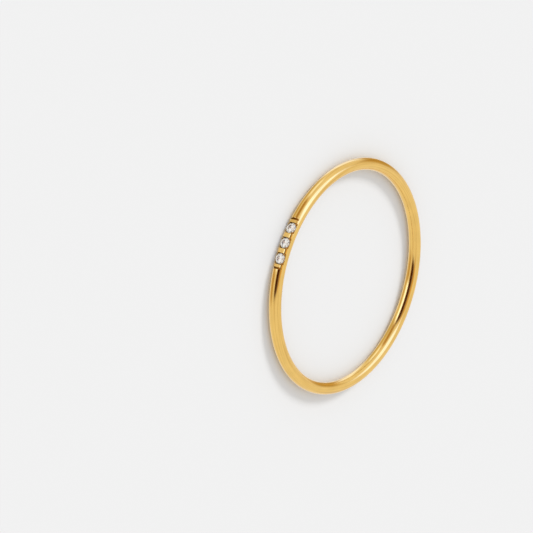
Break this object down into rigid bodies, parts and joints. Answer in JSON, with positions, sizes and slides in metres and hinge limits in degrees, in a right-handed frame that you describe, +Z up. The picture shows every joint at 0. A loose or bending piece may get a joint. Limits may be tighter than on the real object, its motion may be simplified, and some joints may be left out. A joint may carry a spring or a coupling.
{
  "type": "stacking ring",
  "caption": "Slim round-wire finger ring with a short row of small clear brilliants bead-set in pockets across its outer face.",
  "frame": {"origin": "on the floor under the ring, on the ring's own axis", "axes": "+Z up along the ring's axis, because the ring lies on its side; the middle stone faces -Y"},
  "size_m": [0.0198, 0.0197, 0.001],
  "materials": {
    "gold": "polished yellow gold plate",
    "stone": "clear, faceted and polished"
  },
  "bodies": {
    "root": {"band": "gold", "stone_1": "stone", "stone_2": "stone", "stone_3": "stone"}
  },
  "joints": []
}
